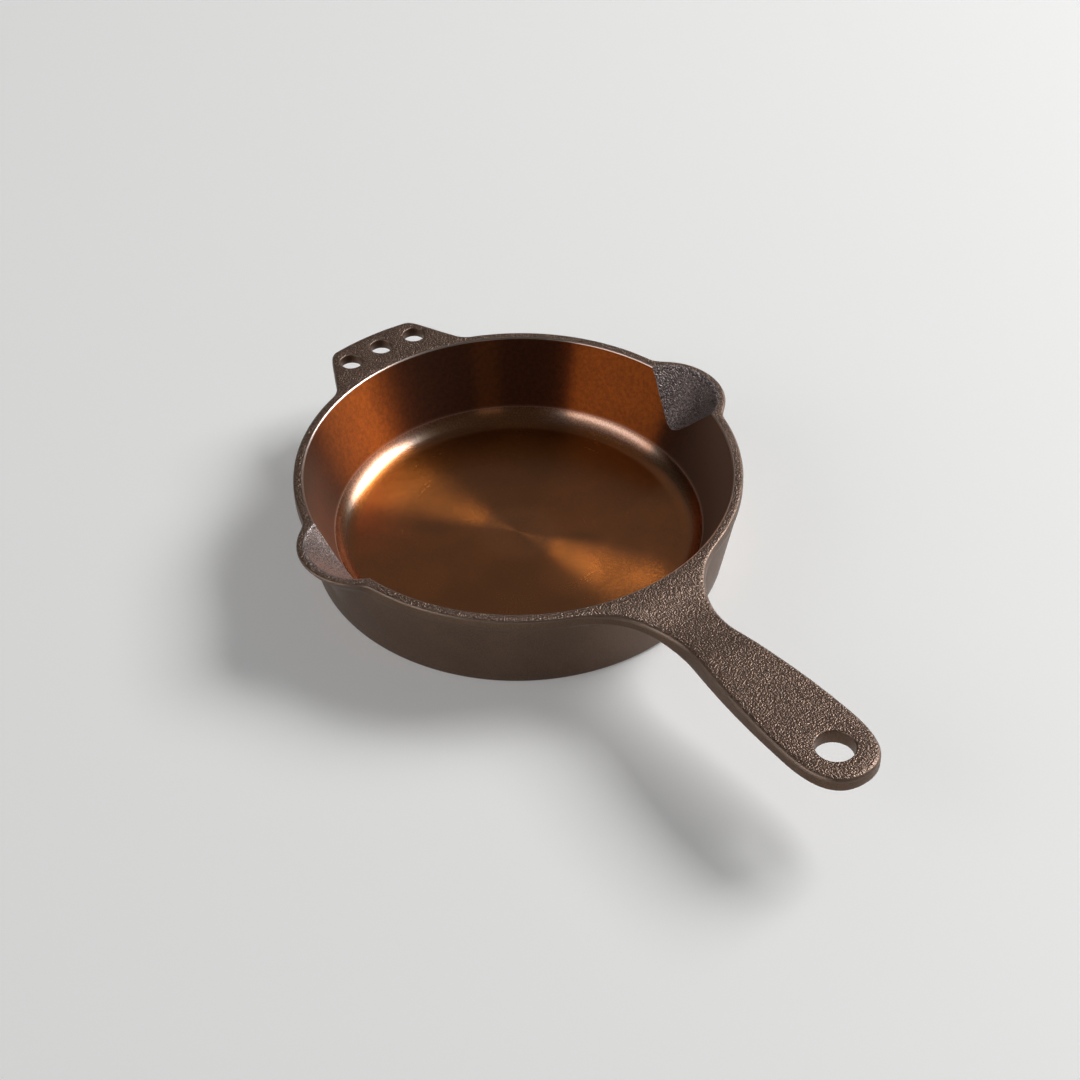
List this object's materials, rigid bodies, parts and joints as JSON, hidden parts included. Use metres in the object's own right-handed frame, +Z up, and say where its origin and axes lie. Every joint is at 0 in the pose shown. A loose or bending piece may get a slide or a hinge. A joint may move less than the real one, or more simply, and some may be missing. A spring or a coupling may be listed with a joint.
{
  "type": "skillet",
  "caption": "Round cast-iron skillet with a polished inside, pour spouts on both sides, a long handle with a hanging hole and a pierced helper tab opposite.",
  "frame": {"origin": "centre of the pan's underside, on the surface that it stands on", "axes": "+X along the handle, +Z up out of the pan, +Y to the right-hand spout of someone holding the handle"},
  "size_m": [0.2918, 0.1846, 0.0355],
  "materials": {
    "polished_iron": "turned and polished, seasoned to a bronze satin",
    "satin_iron": "smoothed casting, seasoned to a dark olive-brown satin",
    "rough_iron": "as-cast sand grain, seasoned dark brown"
  },
  "bodies": {
    "root": {"pan_base": "polished_iron", "front_wall": "satin_iron", "rear_wall": "satin_iron", "left_pour_spout": "rough_iron", "right_pour_spout": "rough_iron", "handle": "rough_iron", "helper_handle": "rough_iron"}
  },
  "joints": []
}
